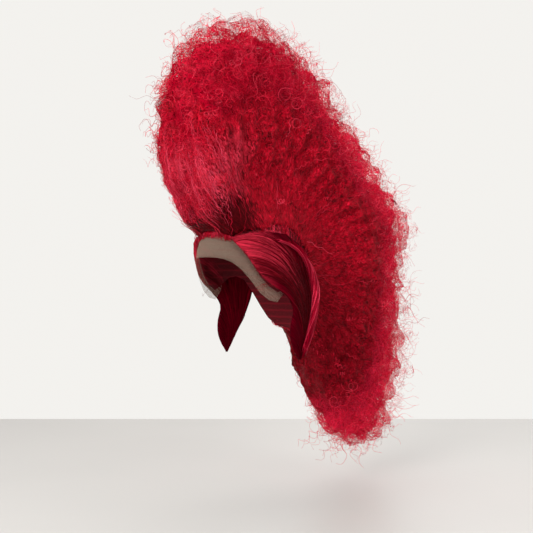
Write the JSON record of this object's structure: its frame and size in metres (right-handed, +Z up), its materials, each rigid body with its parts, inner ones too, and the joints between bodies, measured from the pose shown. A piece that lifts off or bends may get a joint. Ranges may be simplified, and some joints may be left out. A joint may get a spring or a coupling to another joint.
{
  "type": "curly mohawk wig",
  "caption": "Tall red curly mohawk wig: a fan of curls on a thin cap, slick combed sides that taper to points over the ears, and a sheer lace front.",
  "frame": {"origin": "the top of the wearer's head, on the inner face of the cap, in the middle plane", "axes": "+Z up, the wearer faces -Y, +X to the wearer's left"},
  "size_m": [0.1858, 0.5063, 0.7257],
  "materials": {
    "cap_net": "matt stretch net",
    "lace": "sheer lace",
    "slick_hair": "combed glossy fibre",
    "edge_hair": "combed glossy fibre",
    "root_hair": "combed fibre",
    "curls": "frizzy curled fibre"
  },
  "bodies": {
    "root": {"wig_cap": "cap_net", "lace_front": "lace", "side_panel_left": "slick_hair", "side_panel_right": "slick_hair", "edge_lock_left": "edge_hair", "edge_lock_right": "edge_hair", "root_hair": "root_hair", "crest_front": "curls", "crest_top": "curls", "crest_crown": "curls", "crest_back": "curls", "crest_tail": "curls"}
  },
  "joints": []
}
